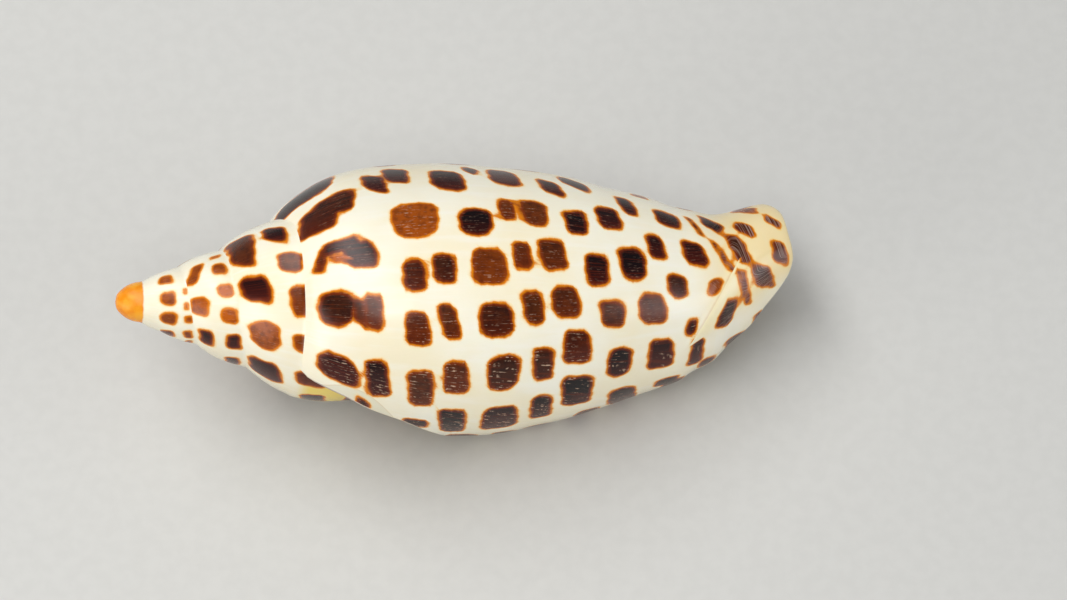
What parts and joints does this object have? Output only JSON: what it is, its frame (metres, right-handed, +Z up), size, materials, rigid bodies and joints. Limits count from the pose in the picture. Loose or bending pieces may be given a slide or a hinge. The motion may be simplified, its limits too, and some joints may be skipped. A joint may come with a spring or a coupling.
{
  "type": "junonia shell",
  "caption": "Long spindle-shaped spiral sea shell with a short spire, a slit-like aperture and folds on its central pillar; a display or collection piece that lies on its aperture side.",
  "frame": {"origin": "on the ground under the middle of the shell's box", "axes": "+X runs from the apex towards the siphonal end, +Z is up, and the outer lip is on the -Y side. The shell lies on its aperture side, turned 31.5 degrees towards the lip and with its siphonal end 11 degrees lower than level with the coiling axis."},
  "size_m": [0.1092, 0.0444, 0.0408],
  "materials": {
    "shell": "polished, cream white with spiral rows of dark-brown rounded squares, amber apex"
  },
  "bodies": {
    "root": {"shell": "shell"}
  },
  "joints": []
}
